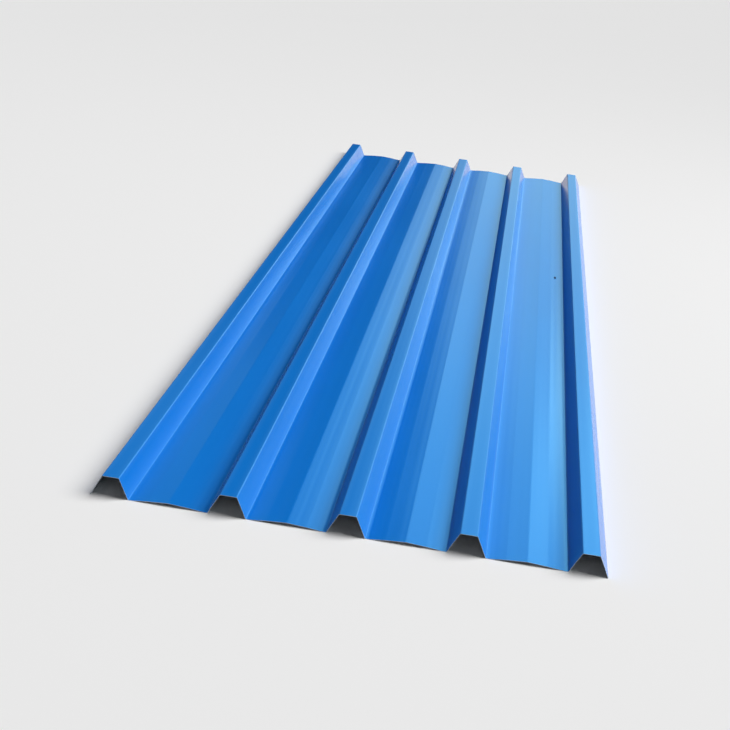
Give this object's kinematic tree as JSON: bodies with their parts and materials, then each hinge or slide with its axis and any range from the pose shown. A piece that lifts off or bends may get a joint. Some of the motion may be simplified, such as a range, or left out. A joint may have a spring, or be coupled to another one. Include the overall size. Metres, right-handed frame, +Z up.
{
  "type": "corrugated metal sheet",
  "caption": "Trapezoidal roofing and cladding sheet of blue prepainted steel, with narrow flat-topped ribs, wide pans creased into a shallow arch and square-cut ends.",
  "frame": {"origin": "centre of the sheet's footprint, on the surface that it lies on", "axes": "+Y along the ribs, towards the far sheared end; +X across the ribs; +Z up out of the crests"},
  "size_m": [0.8218, 3, 0.035],
  "materials": {
    "prepainted_steel": "semi-gloss blue coil coating on galvanised steel"
  },
  "bodies": {
    "root": {"corrugated_sheet": "prepainted_steel"}
  },
  "joints": []
}
